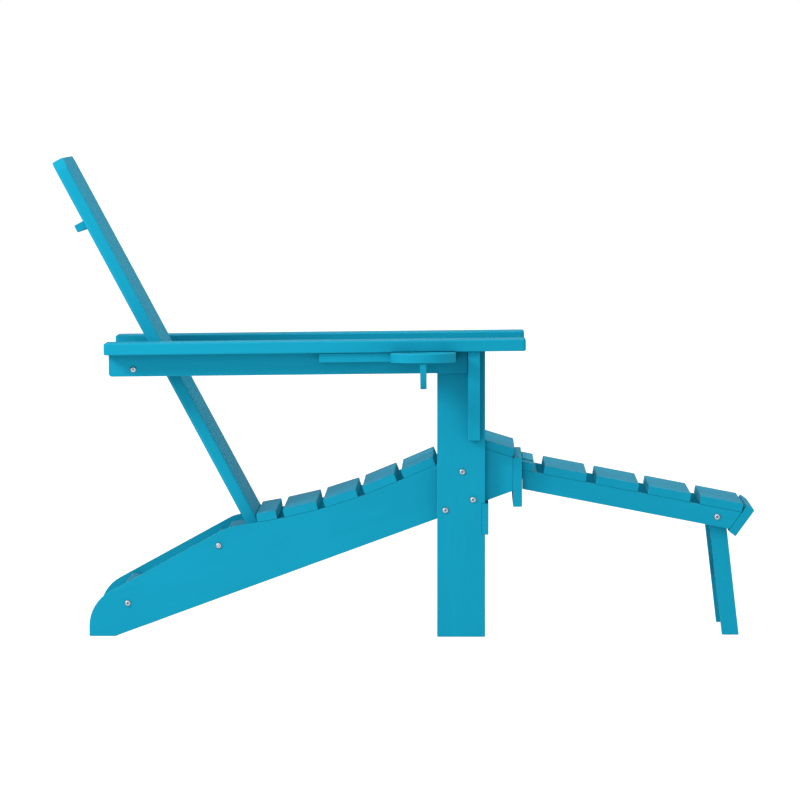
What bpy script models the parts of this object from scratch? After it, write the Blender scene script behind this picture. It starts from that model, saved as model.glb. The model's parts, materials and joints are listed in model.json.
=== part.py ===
"""Adirondack chair with a hinged footrest and a cup holder, built from flat boards.

Frame: metres, +Z up, +X is the way the sitter looks, -Y is the sitter's right.
The design works from a datum on the floor, midway between the front legs' centre lines;
a last step moves the whole chair so that the origin is under the middle of its box.
"""
import math

import bmesh
import bpy
from mathutils import Vector

# ---- fits ----
GAP = 0.0003              # between pieces that touch
HOLE_CLEARANCE = 0.0003   # round a bolt's shank
PIN_CLEARANCE = 0.0003    # round a hinge pin

# ---- boards ----
BOARD = 0.022             # legs, side rails, arms, aprons and cross boards
SLAT = 0.0155             # seat and footrest slats
WIDE_BOARD = 0.089        # the wide stock: legs, back cross rail, back foot board

# ---- seat ----
SEAT_LENGTH = 0.560       # slats and front board, across the chair
SEAT_SLAT_WIDTH = 0.064
SEAT_PITCH = 0.078
SEAT_FIRST_RUN = 0.1016   # from the knee of the side rail to the first slat gap
SEAT_FRONT_RUN = 0.0678   # from the crest down to the front board
SEAT_SLOPES = (10.0, 13.0, 17.8, 22.3, 23.3, 23.5, -16.8)
CREST_X = 0.0309          # where the seat is highest
CREST_Z = 0.3519

# ---- side rails ----
RAIL_TOP_SLOPE = 28.7     # behind the seat
RAIL_BOTTOM_SLOPE = 20.08
HEEL_X = -0.6901          # rearmost point of the heel
HEEL_RADIUS = 0.070
KNEE_RADIUS = 0.060
FOOT_TOE_X = -0.6422      # front end of the flat foot

# ---- back ----
BACK_ANGLE = 28.33        # from upright
BACK_OFFSET = 0.0348      # knee of the side rail to the back's rear face
FOOT_BOARD_DROP = 0.010   # foot board under the side rails' top edges
FOOT_BOARD_REAR = 0.0060  # foot board behind the knee
BACK_THICKNESS = 0.023
BACK_LENGTH = 0.7615
BACK_SLATS = 5
BACK_SLAT_WIDTH = 0.0876
BACK_SLAT_GAP = 0.008
BACK_CORNER_RADIUS = 0.026
BATTEN_HEIGHT = 0.015
BATTEN_DEPTH = 0.019
BATTEN_FROM_FOOT = 0.6242
BATTEN_LENGTH = 0.430

# ---- arms ----
ARM_UNDERSIDE = 0.5307    # over the datum
ARM_SLOPE = 0.62          # rises to the front
ARM_OVERHANG = 0.0727     # beyond the leg
ARM_WIDTH = 0.137
ARM_FRONT_X = 0.1197
ARM_TAIL = 0.0074         # arm behind the apron
ARM_CORNER_RADIUS = 0.006
APRON_HEIGHT = 0.0405
APRON_CORNER_RADIUS = 0.006
CROSS_RAIL_BELOW_ARM = 0.0343
CROSS_RAIL_CLEAR = 0.0014 # apron behind the back cross rail
BRACKET_X = 0.0129        # rear face of the bracket
BRACKET_HEIGHT = 0.1656
BRACKET_TOP_WIDTH = 0.060
BRACKET_FOOT_WIDTH = 0.026

# ---- front ----
FRONT_BOARD = 0.017
FRONT_BOARD_HEIGHT = 0.0908
STRETCHER = 0.0122
STRETCHER_HEIGHT = 0.0579
STRETCHER_NOTCH = 0.006   # let into the legs' front edges
STRETCHER_Z = 0.1895

# ---- cross boards between the side rails ----
HEEL_BOARD_AT = (-0.6189, 0.0612)
REAR_BOARD_AT = (-0.4500, 0.1470)
CROSS_BOARD_HEIGHT = 0.060
REAR_BOLT_RISE = 0.0212   # bolt over the rear board's middle

# ---- cup holder, on the sitter's right ----
CUP_X = -0.06985
CUP_OUT = 0.050           # cup's centre beyond the arm's edge
CUP_RADIUS = 0.0604
CUP_HOLE_RADIUS = 0.042
CUP_BOARD = 0.0173
CUP_BOARD_LENGTH = 0.253
CUP_BOARD_INSET = 0.010   # straight part inside the arm's edge
CRADLE_THICKNESS = 0.0114
CRADLE_DROP = 0.0488
CRADLE_HALF_WIDTH = 0.054
CRADLE_BAND = 0.012
CRADLE_CORNER = 0.040

# ---- footrest ----
REST_HALF_WIDTH = 0.250
REST_SLOPE = 10.9
REST_DROP = 0.0234        # rail tops below the front board's top
REST_RAIL_HEIGHT = 0.0348
REST_SLAT_WIDTH = 0.080
REST_PITCH = 0.0987
REST_SECOND_SLAT = 0.0400
REST_FIRST_SLAT = 0.0200  # its front edge
REST_REAR_CLEAR = 0.0009  # first slat to the front board
REST_END_LEAN = 25.3
REST_END_BOARD = 0.0164
REST_END_HEIGHT = 0.060
REST_END_TOP = 0.0080     # outer top edge over the rail tops
REST_END_X = 0.4386
REST_CROSS_X = 0.0110
REST_CROSS_BOARD = 0.018
REST_LEG_WIDTH = 0.031
REST_LEG_LEAN = 6.5
REST_PIVOT = (0.3727, 0.0170)
REST_BAR_DOWN = 0.117
REST_BAR = (0.018, 0.030)

# ---- fasteners and hinges ----
BOLT_RADIUS = 0.003
HEAD_RADIUS = 0.0061
HEAD_HEIGHT = 0.0033
BOLT_BITE = 0.018         # shank in the second board
LEG_BOLTS = ((0.0022, 0.3063), (0.0222, 0.2545), (-0.0291, 0.2350))
ROUND_STEPS = 16
KNUCKLE_RADIUS = 0.003
KNUCKLE_LENGTH = 0.060
HINGE_KNUCKLES = 5
KNUCKLE_SPACE = 0.0004
PIN_RADIUS = 0.0014
LEAF = 0.0018
FIXED_LEAF_HEIGHT = 0.030
MOVING_LEAF_WIDTH = 0.0150

BLUE = (0.012, 0.365, 0.577)
STEEL = (0.62, 0.63, 0.64)


# ---- values worked out from the sizes above ----
def step(point, slope, distance):
    angle = math.radians(slope)
    return (point[0] + distance * math.cos(angle), point[1] + distance * math.sin(angle))


def seat_line():
    """Corners of the side rails' top edge under the slats, from the knee to the front."""
    runs = [SEAT_FIRST_RUN] + [SEAT_PITCH] * (len(SEAT_SLOPES) - 2) + [SEAT_FRONT_RUN]
    points = [(CREST_X, CREST_Z)]
    for slope, run in reversed(list(zip(SEAT_SLOPES[:-1], runs[:-1]))):
        points.insert(0, step(points[0], slope, -run))
    points.append(step(points[-1], SEAT_SLOPES[-1], runs[-1]))
    return points


SEAT_LINE = seat_line()
KNEE = SEAT_LINE[0]
RAIL_FRONT_X, RAIL_FRONT_Z = SEAT_LINE[-1]
SEAT_HALF = SEAT_LENGTH / 2
RAIL_INNER = SEAT_HALF - BOARD
LEG_INNER = SEAT_HALF + GAP
LEG_OUTER = LEG_INNER + BOARD
APRON_INNER = LEG_OUTER + GAP
APRON_OUTER = APRON_INNER + BOARD
ARM_OUTER = LEG_OUTER + ARM_OVERHANG
BACK_BASE = step(KNEE, SEAT_SLOPES[0], BACK_OFFSET)
BACK_WIDTH = BACK_SLATS * BACK_SLAT_WIDTH + (BACK_SLATS - 1) * BACK_SLAT_GAP
BACK_PITCH = BACK_SLAT_WIDTH + BACK_SLAT_GAP
CROSS_RAIL_Z = ARM_UNDERSIDE - CROSS_RAIL_BELOW_ARM
FRONT_FACE_X = RAIL_FRONT_X + GAP + FRONT_BOARD
FRONT_TOP_Z = RAIL_FRONT_Z - 4 * GAP
REST_ORIGIN = (FRONT_FACE_X, FRONT_TOP_Z - REST_DROP)
REST_INNER = REST_HALF_WIDTH - BOARD


def arm_height(x):
    """Height of the arms' underside."""
    return ARM_UNDERSIDE + x * math.tan(math.radians(ARM_SLOPE))


def back_face_x(z):
    """Rear face of the back at a height."""
    return BACK_BASE[0] - (z - BACK_BASE[1]) * math.tan(math.radians(BACK_ANGLE))


CROSS_RAIL_TOP_Z = CROSS_RAIL_Z + BOARD / 2
CROSS_RAIL_REAR_X = back_face_x(CROSS_RAIL_TOP_Z) - WIDE_BOARD
APRON_REAR_X = CROSS_RAIL_REAR_X - CROSS_RAIL_CLEAR


def hinge_axis():
    """Footrest hinge: against the front board, level with the top of the first slat."""
    x = FRONT_FACE_X + 2 * GAP + KNUCKLE_RADIUS
    rest = math.radians(REST_SLOPE)
    along = (x - REST_ORIGIN[0]) * math.tan(rest)
    return (x, REST_ORIGIN[1] - along + (SLAT + GAP) / math.cos(rest))


HINGE = hinge_axis()


# ---- outlines ----
def arc(centre, radius, start, end, steps):
    """Points on a circle from one angle to another, in degrees."""
    angles = [math.radians(start + (end - start) * i / steps) for i in range(steps + 1)]
    return [(centre[0] + radius * math.cos(a), centre[1] + radius * math.sin(a)) for a in angles]


def fillet(before, corner, after, radius, steps):
    """A corner replaced by an arc that touches both of its edges."""
    c = Vector(corner)
    one = (Vector(before) - c).normalized()
    two = (Vector(after) - c).normalized()
    half = one.angle(two) / 2
    centre = c + (one + two).normalized() * (radius / math.sin(half))
    reach = radius / math.tan(half)
    first = c + one * reach - centre
    last = c + two * reach - centre
    points = []
    for i in range(steps + 1):
        t = i / steps
        ray = first.slerp(last, t)
        points.append(tuple(centre + ray.normalized() * radius))
    return points


def rounded(corners, radii, steps=4):
    """An outline with each corner rounded by its own radius; 0 leaves it sharp."""
    points = []
    for i, (corner, radius) in enumerate(zip(corners, radii)):
        if radius == 0:
            points.append(corner)
        else:
            points += fillet(corners[i - 1], corner, corners[(i + 1) % len(corners)], radius, steps)
    return points


def rail_outline():
    """Side rail: flat foot, round heel, straight rise, knee, one facet for each slat."""
    slope = math.radians(RAIL_TOP_SLOPE)
    centre_x = HEEL_X + HEEL_RADIUS
    rise = math.sin(slope) * (centre_x - KNEE[0]) - HEEL_RADIUS
    centre = (centre_x, KNEE[1] + rise / math.cos(slope))
    heel = arc(centre, HEEL_RADIUS, 180, 90 + RAIL_TOP_SLOPE, 8)
    knee = fillet(heel[-1], KNEE, SEAT_LINE[1], KNEE_RADIUS, 3)
    under = (RAIL_FRONT_X - FOOT_TOE_X) * math.tan(math.radians(RAIL_BOTTOM_SLOPE))
    bottom = [(RAIL_FRONT_X, under), (FOOT_TOE_X, 0.0), (HEEL_X, 0.0)]
    return heel + knee + SEAT_LINE[1:] + bottom


def leg_outline():
    """Front leg: upright, cut to the arm's slope, notched for the stretcher."""
    half = WIDE_BOARD / 2
    notch = half - STRETCHER_NOTCH - GAP
    low = STRETCHER_Z - GAP
    high = STRETCHER_Z + STRETCHER_HEIGHT + GAP
    top = [(half, arm_height(half) - GAP), (-half, arm_height(-half) - GAP)]
    return [(-half, 0.0), (half, 0.0), (half, low), (notch, low), (notch, high), (half, high)] + top


def bracket_outline(side):
    """Arm bracket, seen from the front: a straight head over an S-shaped taper."""
    top = arm_height(BRACKET_X) - GAP
    low = top - BRACKET_HEIGHT
    shoulder = top - BRACKET_HEIGHT * 0.3
    inner = LEG_OUTER + GAP
    steps = 8
    taper = []
    for i in range(steps + 1):
        t = i / steps
        swing = (1 - math.cos(math.pi * t)) / 2
        width = BRACKET_FOOT_WIDTH + (BRACKET_TOP_WIDTH - BRACKET_FOOT_WIDTH) * swing
        taper.append((side * (inner + width), low + (shoulder - low) * t))
    head = [(side * (inner + BRACKET_TOP_WIDTH), top), (side * inner, top)]
    return [(side * inner, low)] + taper + head


def cup_board_outline():
    """Cup board from above: a strip under the arm with a round-ended tongue past its edge."""
    centre = (CUP_X, -ARM_OUTER - CUP_OUT)
    edge = -ARM_OUTER + CUP_BOARD_INSET
    front = CUP_X + CUP_RADIUS
    rear = front - CUP_BOARD_LENGTH
    inner = -APRON_OUTER - GAP
    nose = arc(centre, CUP_RADIUS, 0, -180, 24)
    return [(rear, inner), (front, inner)] + nose + [(CUP_X - CUP_RADIUS, edge), (rear, edge)]


def cradle_outline():
    """Cup cradle from the front: a U-shaped band of even width."""
    middle = -ARM_OUTER - CUP_OUT
    top = -CUP_BOARD - 2 * GAP
    low = top - CRADLE_DROP
    half = CRADLE_HALF_WIDTH
    bend = CRADLE_CORNER
    outer = [(middle - half, top)]
    outer += arc((middle - half + bend, low + bend), bend, 180, 270, 6)
    outer += arc((middle + half - bend, low + bend), bend, 270, 360, 6)
    outer.append((middle + half, top))
    tight = bend - CRADLE_BAND
    inner = [(middle + half - CRADLE_BAND, top)]
    inner += arc((middle + half - bend, low + bend), tight, 360, 270, 6)
    inner += arc((middle - half + bend, low + bend), tight, 270, 180, 6)
    inner.append((middle - half + CRADLE_BAND, top))
    return outer + inner


def rest_rail_outline():
    """Footrest rail in the deck's own frame: upright rear end, leaning front end."""
    rest = math.radians(REST_SLOPE)
    lean = math.tan(math.radians(REST_END_LEAN))
    clear = 2 * GAP
    rear_top = clear / math.cos(rest)
    rear_low = (clear + REST_RAIL_HEIGHT * math.sin(rest)) / math.cos(rest)
    front_top = rest_end_face(0.0) - clear
    front_low = front_top - REST_RAIL_HEIGHT * lean
    return [(rear_top, 0.0), (rear_low, -REST_RAIL_HEIGHT), (front_low, -REST_RAIL_HEIGHT), (front_top, 0.0)]


def rest_end_face(z):
    """Inner face of the footrest's end board, in the deck's frame."""
    lean = math.radians(REST_END_LEAN)
    outer = REST_END_X + (z - REST_END_TOP) * math.tan(lean)
    return outer - REST_END_BOARD / math.cos(lean)


def rest_leg_outline():
    """Footrest leg about its pivot: a round head, straight sides, a foot cut to the floor."""
    half = REST_LEG_WIDTH / 2
    lean = math.radians(REST_LEG_LEAN)
    head = arc((0.0, 0.0), half, REST_LEG_LEAN, 180 + REST_LEG_LEAN, 10)
    drop = pivot_height()
    along = math.tan(lean)
    wide = half / math.cos(lean)
    return head + [(drop * along - wide, -drop), (drop * along + wide, -drop)]


def pivot_height():
    """Height of the footrest legs' pivot over the floor."""
    rest = math.radians(REST_SLOPE)
    return REST_ORIGIN[1] - REST_PIVOT[0] * math.sin(rest) - REST_PIVOT[1] * math.cos(rest)


# ---- objects ----
def clear_scene():
    for existing in list(bpy.data.objects):
        bpy.data.objects.remove(existing, do_unlink=True)


def add_empty(name, location, tilt=0.0, parent=None):
    """A frame to hang pieces on; tilt turns it about Y, nose down for a positive angle."""
    empty = bpy.data.objects.new(name, None)
    bpy.context.scene.collection.objects.link(empty)
    empty.parent = parent
    empty.location = location
    empty.rotation_euler = (0.0, math.radians(tilt), 0.0)
    return empty


def add_mesh_object(name, bm, parent, location=(0, 0, 0), tilt=0.0):
    bmesh.ops.recalc_face_normals(bm, faces=bm.faces)
    mesh = bpy.data.meshes.new(name)
    bm.to_mesh(mesh)
    bm.free()
    piece = bpy.data.objects.new(name, mesh)
    bpy.context.scene.collection.objects.link(piece)
    piece.parent = parent
    piece.location = location
    piece.rotation_euler = (0.0, math.radians(tilt), 0.0)
    return piece


def paint(piece, colour, roughness, metallic):
    material = bpy.data.materials.new(piece.name + "_finish")
    material.use_nodes = True
    shader = material.node_tree.nodes["Principled BSDF"]
    shader.inputs["Base Color"].default_value = (*colour, 1.0)
    shader.inputs["Roughness"].default_value = roughness
    shader.inputs["Metallic"].default_value = metallic
    piece.data.materials.append(material)
    return piece


def prism(outline, low, high, across):
    """An outline drawn in the plane across one axis and extruded along that axis."""
    place = {
        "x": lambda a, b, c: (c, a, b),
        "y": lambda a, b, c: (a, c, b),
        "z": lambda a, b, c: (a, b, c),
    }[across]
    bm = bmesh.new()
    face = bm.faces.new([bm.verts.new(place(a, b, low)) for a, b in outline])
    grown = bmesh.ops.extrude_face_region(bm, geom=[face])
    moved = [v for v in grown["geom"] if isinstance(v, bmesh.types.BMVert)]
    bmesh.ops.translate(bm, verts=moved, vec=Vector(place(0.0, 0.0, high - low)))
    return bm


def block(low, high):
    """A plain board from its lowest to its highest corner."""
    bm = bmesh.new()
    bmesh.ops.create_cube(bm, size=1.0)
    size = Vector(high) - Vector(low)
    bmesh.ops.scale(bm, vec=size, verts=bm.verts)
    bmesh.ops.translate(bm, vec=(Vector(low) + Vector(high)) / 2, verts=bm.verts)
    return bm


def turned(profile, steps=ROUND_STEPS):
    """A profile of (radius, height) turned about Z; it starts and ends on the axis."""
    bm = bmesh.new()
    rings = []
    for radius, height in profile:
        if radius == 0:
            rings.append([bm.verts.new((0.0, 0.0, height))])
            continue
        angles = [2 * math.pi * i / steps for i in range(steps)]
        rings.append([bm.verts.new((radius * math.cos(a), radius * math.sin(a), height)) for a in angles])
    for lower, upper in zip(rings, rings[1:]):
        for i in range(steps):
            j = (i + 1) % steps
            corners = [lower[i % len(lower)], lower[j % len(lower)], upper[j % len(upper)], upper[i % len(upper)]]
            bm.faces.new(list(dict.fromkeys(corners)))
    return bm


def wood(name, bm, parent, location=(0, 0, 0), tilt=0.0, colour=BLUE):
    return paint(add_mesh_object(name, bm, parent, location, tilt), colour, 0.45, 0.0)


def boolean(piece, tool, operation):
    change = piece.modifiers.new(operation.lower(), "BOOLEAN")
    change.operation = operation
    change.solver = "EXACT"
    change.object = tool


def add_tool(name, bm, parent, location=(0, 0, 0)):
    """A solid that only cuts or joins others."""
    tool = add_mesh_object(name, bm, parent, location)
    tool.hide_render = True
    tool.display_type = "WIRE"
    return tool


def lay(piece, side):
    """Turns a piece made along Z so that its head points out of one side of the chair."""
    piece.rotation_euler = (math.radians(90.0 if side < 0 else -90.0), 0.0, 0.0)


def shade_round(piece):
    piece.data.shade_smooth()
    piece.data.set_sharp_from_angle(angle=math.radians(35.0))


def add_bolt(name, parent, at, side, face, boards, depth, both_heads=False, radius=BOLT_RADIUS):
    """A button-head bolt along Y: its head sits on a board's outer face, its shank goes inwards."""
    x, z = at
    head = [(HEAD_RADIUS, 0.0), (HEAD_RADIUS, HEAD_HEIGHT * 0.4), (HEAD_RADIUS * 0.72, HEAD_HEIGHT * 0.85)]
    profile = [(radius, 0.0)] + head + [(HEAD_RADIUS * 0.3, HEAD_HEIGHT), (0.0, HEAD_HEIGHT)]
    if both_heads:
        low = -depth - 2 * GAP
        mirrored = [(r, low - h) for r, h in reversed(head)]
        tail = [(0.0, low - HEAD_HEIGHT), (HEAD_RADIUS * 0.3, low - HEAD_HEIGHT)] + mirrored + [(radius, low)]
        reach = depth + 4 * HEAD_HEIGHT
    else:
        tail = [(0.0, -depth), (radius, -depth)]
        reach = depth + HOLE_CLEARANCE
    seat = side * (face + GAP)
    bolt = add_mesh_object(name, turned(tail + profile), parent, (x, seat, z))
    lay(bolt, side)
    shade_round(bolt)
    paint(bolt, STEEL, 0.3, 1.0)
    hole = turned([(0.0, -reach), (radius + HOLE_CLEARANCE, -reach), (radius + HOLE_CLEARANCE, 0.005), (0.0, 0.005)])
    cutter = add_tool(name + "_hole", hole, parent, (x, seat, z))
    lay(cutter, side)
    for board in boards:
        boolean(board, cutter, "DIFFERENCE")
    return bolt


# ---- the chair ----
def build_seat(frame):
    """Side rails, the boards between them, and the slats on their facets."""
    rails = {}
    for side, word in ((-1, "right"), (1, "left")):
        low, high = sorted((side * RAIL_INNER, side * SEAT_HALF))
        rails[side] = wood(f"seat_rail_{word}", prism(rail_outline(), low, high, "y"), frame)
    span = RAIL_INNER - GAP
    boards = {}
    for name, (x, z) in (("heel_board", HEEL_BOARD_AT), ("rear_board", REAR_BOARD_AT)):
        half = (BOARD / 2, CROSS_BOARD_HEIGHT / 2)
        bm = block((x - half[0], -span, z - half[1]), (x + half[0], span, z + half[1]))
        boards[name] = wood(name, bm, frame)
    slope = -SEAT_SLOPES[0]
    top = -FOOT_BOARD_DROP
    bm = block((-FOOT_BOARD_REAR, -span, top - BOARD), (WIDE_BOARD - FOOT_BOARD_REAR, span, top))
    wood("back_foot_board", bm, frame, (KNEE[0], 0.0, KNEE[1]), slope)
    for side in (-1, 1):
        word = "right" if side < 0 else "left"
        bite = BOARD + BOLT_BITE
        pair = [rails[side], boards["heel_board"]]
        add_bolt(f"heel_bolt_{word}", frame, HEEL_BOARD_AT, side, SEAT_HALF, pair, bite)
        at = (REAR_BOARD_AT[0], REAR_BOARD_AT[1] + REAR_BOLT_RISE)
        pair = [rails[side], boards["rear_board"]]
        add_bolt(f"rear_board_bolt_{word}", frame, at, side, SEAT_HALF, pair, bite)
    build_seat_slats(frame)
    return rails


def back_toe_run():
    """From the knee to the back's front face, along the rear seat slat's slope."""
    toe = step(BACK_BASE, BACK_ANGLE, BACK_THICKNESS)
    slope = math.radians(SEAT_SLOPES[0])
    return (toe[0] - KNEE[0]) * math.cos(slope) + (toe[1] - KNEE[1]) * math.sin(slope)


def build_seat_slats(frame):
    margin = (SEAT_PITCH - SEAT_SLAT_WIDTH) / 2
    for i, angle in enumerate(SEAT_SLOPES):
        start = SEAT_LINE[i]
        low, high = margin, margin + SEAT_SLAT_WIDTH
        if i == 0:
            low, high = back_toe_run() + 4 * GAP, SEAT_FIRST_RUN - margin
        if i == len(SEAT_SLOPES) - 1:
            high = SEAT_FRONT_RUN - 3 * GAP
            low = high - SEAT_SLAT_WIDTH
        bm = block((low, -SEAT_HALF, GAP), (high, SEAT_HALF, GAP + SLAT))
        wood(f"seat_slat_{i + 1}", bm, frame, (start[0], 0.0, start[1]), -angle)


def build_back(frame):
    """Five slats standing on the foot board, with a batten high up behind them.

    Their feet are cut to the foot board's slope and kept behind the rear seat slat.
    """
    plane = add_empty("back_plane", (BACK_BASE[0], 0.0, BACK_BASE[1]), -BACK_ANGLE, frame)
    top = GAP - FOOT_BOARD_DROP
    toe = back_toe_run() + 2 * GAP
    outline = [(-WIDE_BOARD, top - BOARD), (2 * WIDE_BOARD, top - BOARD), (2 * WIDE_BOARD, SLAT), (toe, SLAT),
               (toe, top), (-WIDE_BOARD, top)]
    room = prism(outline, -BACK_WIDTH, BACK_WIDTH, "y")
    foot_room = add_tool("back_foot_room", room, frame, (KNEE[0], 0.0, KNEE[1]))
    foot_room.rotation_euler = (0.0, -math.radians(SEAT_SLOPES[0]), 0.0)
    for i in range(BACK_SLATS):
        low = -BACK_WIDTH / 2 + i * BACK_PITCH
        high = low + BACK_SLAT_WIDTH
        corners = [(low, -BOARD), (high, -BOARD), (high, BACK_LENGTH), (low, BACK_LENGTH)]
        radii = [0, 0, BACK_CORNER_RADIUS * (i == BACK_SLATS - 1), BACK_CORNER_RADIUS * (i == 0)]
        slat = wood(f"back_slat_{i + 1}", prism(rounded(corners, radii, 6), 0.0, BACK_THICKNESS, "x"), plane)
        boolean(slat, foot_room, "DIFFERENCE")
    half = BATTEN_LENGTH / 2
    low = (-GAP - BATTEN_DEPTH, -half, BATTEN_FROM_FOOT)
    wood("back_batten", block(low, (-GAP, half, BATTEN_FROM_FOOT + BATTEN_HEIGHT)), plane)


def build_arms(frame, rails):
    """Legs, arms, aprons, brackets and the cross rail that the back leans on."""
    plane = add_empty("arm_plane", (0.0, 0.0, ARM_UNDERSIDE), -ARM_SLOPE, frame)
    low_z, high_z = CROSS_RAIL_Z - BOARD / 2, CROSS_RAIL_TOP_Z
    clear = 2 * GAP
    outline = [(CROSS_RAIL_REAR_X, low_z), (back_face_x(low_z) - clear, low_z),
               (back_face_x(high_z) - clear, high_z), (CROSS_RAIL_REAR_X, high_z)]
    cross_rail = wood("back_cross_rail", prism(outline, -LEG_OUTER, LEG_OUTER, "y"), frame)
    for side in (-1, 1):
        word = "right" if side < 0 else "left"
        low, high = sorted((side * LEG_INNER, side * LEG_OUTER))
        leg = wood(f"front_leg_{word}", prism(leg_outline(), low, high, "y"), frame)
        for i, at in enumerate(LEG_BOLTS):
            name = f"leg_bolt_{word}_{i + 1}"
            add_bolt(name, frame, at, side, LEG_OUTER, [leg, rails[side]], BOARD + BOLT_BITE)
        edges = sorted((side * (ARM_OUTER - ARM_WIDTH), side * ARM_OUTER))
        rear = APRON_REAR_X - ARM_TAIL
        corners = [(rear, edges[0]), (ARM_FRONT_X, edges[0]), (ARM_FRONT_X, edges[1]), (rear, edges[1])]
        arm = rounded(corners, [ARM_CORNER_RADIUS] * 4)
        wood(f"armrest_{word}", prism(arm, 0.0, BOARD, "z"), plane)
        apron_front = BRACKET_X - 4 * GAP
        low, high = sorted((side * APRON_INNER, side * APRON_OUTER))
        foot = -APRON_HEIGHT - GAP
        corners = [(APRON_REAR_X, foot), (apron_front, foot), (apron_front, -GAP), (APRON_REAR_X, -GAP)]
        outline = rounded(corners, [APRON_CORNER_RADIUS, 0, 0, 0])
        apron = wood(f"arm_apron_{word}", prism(outline, low, high, "y"), plane)
        at = (CROSS_RAIL_REAR_X + WIDE_BOARD / 2, CROSS_RAIL_Z)
        add_bolt(f"apron_bolt_{word}", frame, at, side, APRON_OUTER, [apron, cross_rail], BOARD + BOLT_BITE)
        bracket = prism(bracket_outline(side), BRACKET_X, BRACKET_X + BOARD, "x")
        wood(f"arm_bracket_{word}", bracket, frame)
    return plane


def build_front(frame):
    low = (RAIL_FRONT_X + GAP, -SEAT_HALF, FRONT_TOP_Z - FRONT_BOARD_HEIGHT)
    wood("front_board", block(low, (FRONT_FACE_X, SEAT_HALF, FRONT_TOP_Z)), frame)
    rear = WIDE_BOARD / 2 - STRETCHER_NOTCH
    low = (rear, -LEG_OUTER, STRETCHER_Z)
    high = (rear + STRETCHER, LEG_OUTER, STRETCHER_Z + STRETCHER_HEIGHT)
    wood("front_stretcher", block(low, high), frame)


def build_cup_holder(plane):
    """A ringed board under the right arm, with a U-shaped band that the cup stands in."""
    board = wood("cup_board", prism(cup_board_outline(), -CUP_BOARD - GAP, -GAP, "z"), plane)
    reach = CUP_BOARD * 2
    hole = turned([(0.0, -reach), (CUP_HOLE_RADIUS, -reach), (CUP_HOLE_RADIUS, reach), (0.0, reach)], 32)
    cutter = add_tool("cup_hole", hole, plane, (CUP_X, -ARM_OUTER - CUP_OUT, 0.0))
    boolean(board, cutter, "DIFFERENCE")
    half = CRADLE_THICKNESS / 2
    wood("cup_cradle", prism(cradle_outline(), CUP_X - half, CUP_X + half, "x"), plane)


# ---- the footrest ----
def build_footrest(frame):
    """The deck hangs on an empty on the hinge's axis; the legs on one on their pivot's axis."""
    axis = add_empty("footrest_axis", (HINGE[0], 0.0, HINGE[1]), 0.0, frame)
    start = (REST_ORIGIN[0] - HINGE[0], 0.0, REST_ORIGIN[1] - HINGE[1])
    deck = add_empty("footrest_deck", start, REST_SLOPE, axis)
    rails = {}
    for side, word in ((-1, "right"), (1, "left")):
        low, high = sorted((side * REST_INNER, side * REST_HALF_WIDTH))
        rails[side] = wood(f"footrest_rail_{word}", prism(rest_rail_outline(), low, high, "y"), deck)
    rest = math.radians(REST_SLOPE)
    rear = [((REST_REAR_CLEAR - z * math.sin(rest)) / math.cos(rest), z) for z in (GAP + SLAT, GAP)]
    outline = rear + [(REST_FIRST_SLAT, GAP), (REST_FIRST_SLAT, GAP + SLAT)]
    first = wood("footrest_slat_1", prism(outline, -REST_HALF_WIDTH, REST_HALF_WIDTH, "y"), deck)
    for i in range(4):
        low = REST_SECOND_SLAT + i * REST_PITCH
        high = low + REST_SLAT_WIDTH
        if i == 3:
            high = min(high, rest_end_face(0.0) - 2 * GAP)
        bm = block((low, -REST_HALF_WIDTH, GAP), (high, REST_HALF_WIDTH, GAP + SLAT))
        wood(f"footrest_slat_{i + 2}", bm, deck)
    span = REST_INNER - GAP
    low = (REST_CROSS_X, -span, -REST_RAIL_HEIGHT)
    wood("footrest_cross_board", block(low, (REST_CROSS_X + REST_CROSS_BOARD, span, -GAP)), deck)
    end = block((-REST_END_BOARD, -REST_HALF_WIDTH, -REST_END_HEIGHT), (0.0, REST_HALF_WIDTH, 0.0))
    wood("footrest_end_board", end, deck, (REST_END_X, 0.0, REST_END_TOP), REST_END_LEAN)
    pivot = (REST_PIVOT[0], 0.0, -REST_PIVOT[1])
    leg_axis = add_empty("footrest_leg_axis", pivot, -REST_SLOPE, deck)
    build_footrest_legs(deck, leg_axis, rails)
    build_hinge(frame, deck, first)


def build_footrest_legs(deck, leg_axis, rails):
    outer = REST_INNER - GAP
    inner = outer - BOARD
    for side, word in ((-1, "right"), (1, "left")):
        low, high = sorted((side * inner, side * outer))
        leg = wood(f"footrest_leg_{word}", prism(rest_leg_outline(), low, high, "y"), leg_axis)
        at = (REST_PIVOT[0], -REST_PIVOT[1])
        depth = REST_HALF_WIDTH - inner + GAP
        name = f"footrest_pivot_{word}"
        add_bolt(name, deck, at, side, REST_HALF_WIDTH, [rails[side], leg], depth, both_heads=True)
    span = inner - GAP
    thick, tall = REST_BAR
    bar = block((-thick / 2, -span, -REST_BAR_DOWN - tall / 2), (thick / 2, span, -REST_BAR_DOWN + tall / 2))
    wood("footrest_leg_bar", bar, leg_axis, (0, 0, 0), -REST_LEG_LEAN)


def knuckle(radius, low, high):
    return turned([(0.0, low), (radius, low), (radius, high), (0.0, high)])


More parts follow.
